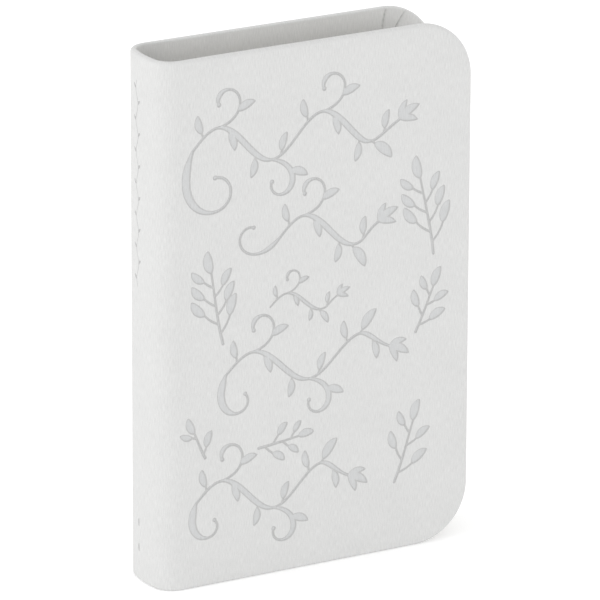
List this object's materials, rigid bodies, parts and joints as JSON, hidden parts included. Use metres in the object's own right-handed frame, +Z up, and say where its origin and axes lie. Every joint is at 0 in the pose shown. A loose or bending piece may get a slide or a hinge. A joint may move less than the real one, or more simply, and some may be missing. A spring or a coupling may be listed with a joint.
{
  "type": "prayer book",
  "caption": "Slim pocket prayer book with a padded off-white leatherette cover, rounded fore-edge corners and silver debossed leaf sprigs.",
  "frame": {"origin": "centre of the footprint of the closed book standing on its tail edge", "axes": "+Z up the book to its head, +X from the spine to the fore-edge, +Y from the front cover to the back cover"},
  "size_m": [0.106, 0.024, 0.165],
  "materials": {
    "leatherette": "soft matte off-white leatherette with a fine linen grain",
    "foam": "thin white padding",
    "board": "grey board",
    "endpaper": "smooth white endpaper",
    "page_paper": "uncoated ivory text paper",
    "kraft_lining": "brown kraft lining",
    "mull": "open-weave gauze",
    "tape": "woven cotton tape",
    "headband": "silver-grey and white striped band"
  },
  "bodies": {
    "spine": {"spine_wrap": "leatherette", "spine_inlay": "board", "front_joint": "leatherette", "back_joint": "leatherette", "spine_lining": "kraft_lining", "mull": "mull", "head_tape": "tape", "middle_tape": "tape", "tail_tape": "tape", "headband": "headband", "tailband": "headband"},
    "front_cover": {"front_wrap": "leatherette", "front_pad": "foam", "front_board": "board", "front_pastedown": "endpaper"},
    "back_cover": {"back_wrap": "leatherette", "back_pad": "foam", "back_board": "board", "back_pastedown": "endpaper"},
    "front_flyleaf": {"front_flyleaf": "endpaper"},
    "section_01": {"section_01": "page_paper"},
    "section_02": {"section_02": "page_paper"},
    "section_03": {"section_03": "page_paper"},
    "section_04": {"section_04": "page_paper"},
    "section_05": {"section_05": "page_paper"},
    "back_flyleaf": {"back_flyleaf": "endpaper"},
    "section_10": {"section_10": "page_paper"},
    "section_09": {"section_09": "page_paper"},
    "section_08": {"section_08": "page_paper"},
    "section_07": {"section_07": "page_paper"},
    "section_06": {"section_06": "page_paper"}
  },
  "joints": [
    {"name": "front_cover_hinge", "type": "hinge", "parent": "spine", "child": "front_cover", "pos_m": [-0.0503, -0.00955, 0], "axis": [0, 0, -1], "range_deg": [0, 176], "deforming": ["front_joint"]},
    {"name": "back_cover_hinge", "type": "hinge", "parent": "spine", "child": "back_cover", "pos_m": [-0.0503, 0.00955, 0], "axis": [0, 0, 1], "range_deg": [0, 176], "deforming": ["back_joint"]},
    {"name": "front_flyleaf_turn", "type": "hinge", "parent": "spine", "child": "front_flyleaf", "pos_m": [-0.0498, -0.00942, 0], "axis": [0, 0, -1], "range_deg": [0, 123.2]},
    {"name": "section_01_turn", "type": "hinge", "parent": "spine", "child": "section_01", "pos_m": [-0.0498, -0.00837, 0], "axis": [0, 0, -1], "range_deg": [0, 88]},
    {"name": "section_02_turn", "type": "hinge", "parent": "spine", "child": "section_02", "pos_m": [-0.0498, -0.00651, 0], "axis": [0, 0, -1], "range_deg": [0, 70.4]},
    {"name": "section_03_turn", "type": "hinge", "parent": "spine", "child": "section_03", "pos_m": [-0.0498, -0.00465, 0], "axis": [0, 0, -1], "range_deg": [0, 52.8]},
    {"name": "section_04_turn", "type": "hinge", "parent": "spine", "child": "section_04", "pos_m": [-0.0498, -0.00279, 0], "axis": [0, 0, -1], "range_deg": [0, 35.2]},
    {"name": "section_05_turn", "type": "hinge", "parent": "spine", "child": "section_05", "pos_m": [-0.0498, -0.00093, 0], "axis": [0, 0, -1], "range_deg": [0, 17.6]},
    {"name": "back_flyleaf_turn", "type": "hinge", "parent": "spine", "child": "back_flyleaf", "pos_m": [-0.0498, 0.00942, 0], "axis": [0, 0, 1], "range_deg": [0, 123.2]},
    {"name": "section_10_turn", "type": "hinge", "parent": "spine", "child": "section_10", "pos_m": [-0.0498, 0.00837, 0], "axis": [0, 0, 1], "range_deg": [0, 88]},
    {"name": "section_09_turn", "type": "hinge", "parent": "spine", "child": "section_09", "pos_m": [-0.0498, 0.00651, 0], "axis": [0, 0, 1], "range_deg": [0, 70.4]},
    {"name": "section_08_turn", "type": "hinge", "parent": "spine", "child": "section_08", "pos_m": [-0.0498, 0.00465, 0], "axis": [0, 0, 1], "range_deg": [0, 52.8]},
    {"name": "section_07_turn", "type": "hinge", "parent": "spine", "child": "section_07", "pos_m": [-0.0498, 0.00279, 0], "axis": [0, 0, 1], "range_deg": [0, 35.2]},
    {"name": "section_06_turn", "type": "hinge", "parent": "spine", "child": "section_06", "pos_m": [-0.0498, 0.00093, 0], "axis": [0, 0, 1], "range_deg": [0, 17.6]}
  ],
  "couplings": [
    {"joint": "front_flyleaf_turn", "follows": "front_cover_hinge", "ratio": 0.7},
    {"joint": "section_01_turn", "follows": "front_cover_hinge", "ratio": 0.5},
    {"joint": "section_02_turn", "follows": "front_cover_hinge", "ratio": 0.4},
    {"joint": "section_03_turn", "follows": "front_cover_hinge", "ratio": 0.3},
    {"joint": "section_04_turn", "follows": "front_cover_hinge", "ratio": 0.2},
    {"joint": "section_05_turn", "follows": "front_cover_hinge", "ratio": 0.1},
    {"joint": "back_flyleaf_turn", "follows": "back_cover_hinge", "ratio": 0.7},
    {"joint": "section_10_turn", "follows": "back_cover_hinge", "ratio": 0.5},
    {"joint": "section_09_turn", "follows": "back_cover_hinge", "ratio": 0.4},
    {"joint": "section_08_turn", "follows": "back_cover_hinge", "ratio": 0.3},
    {"joint": "section_07_turn", "follows": "back_cover_hinge", "ratio": 0.2},
    {"joint": "section_06_turn", "follows": "back_cover_hinge", "ratio": 0.1}
  ]
}
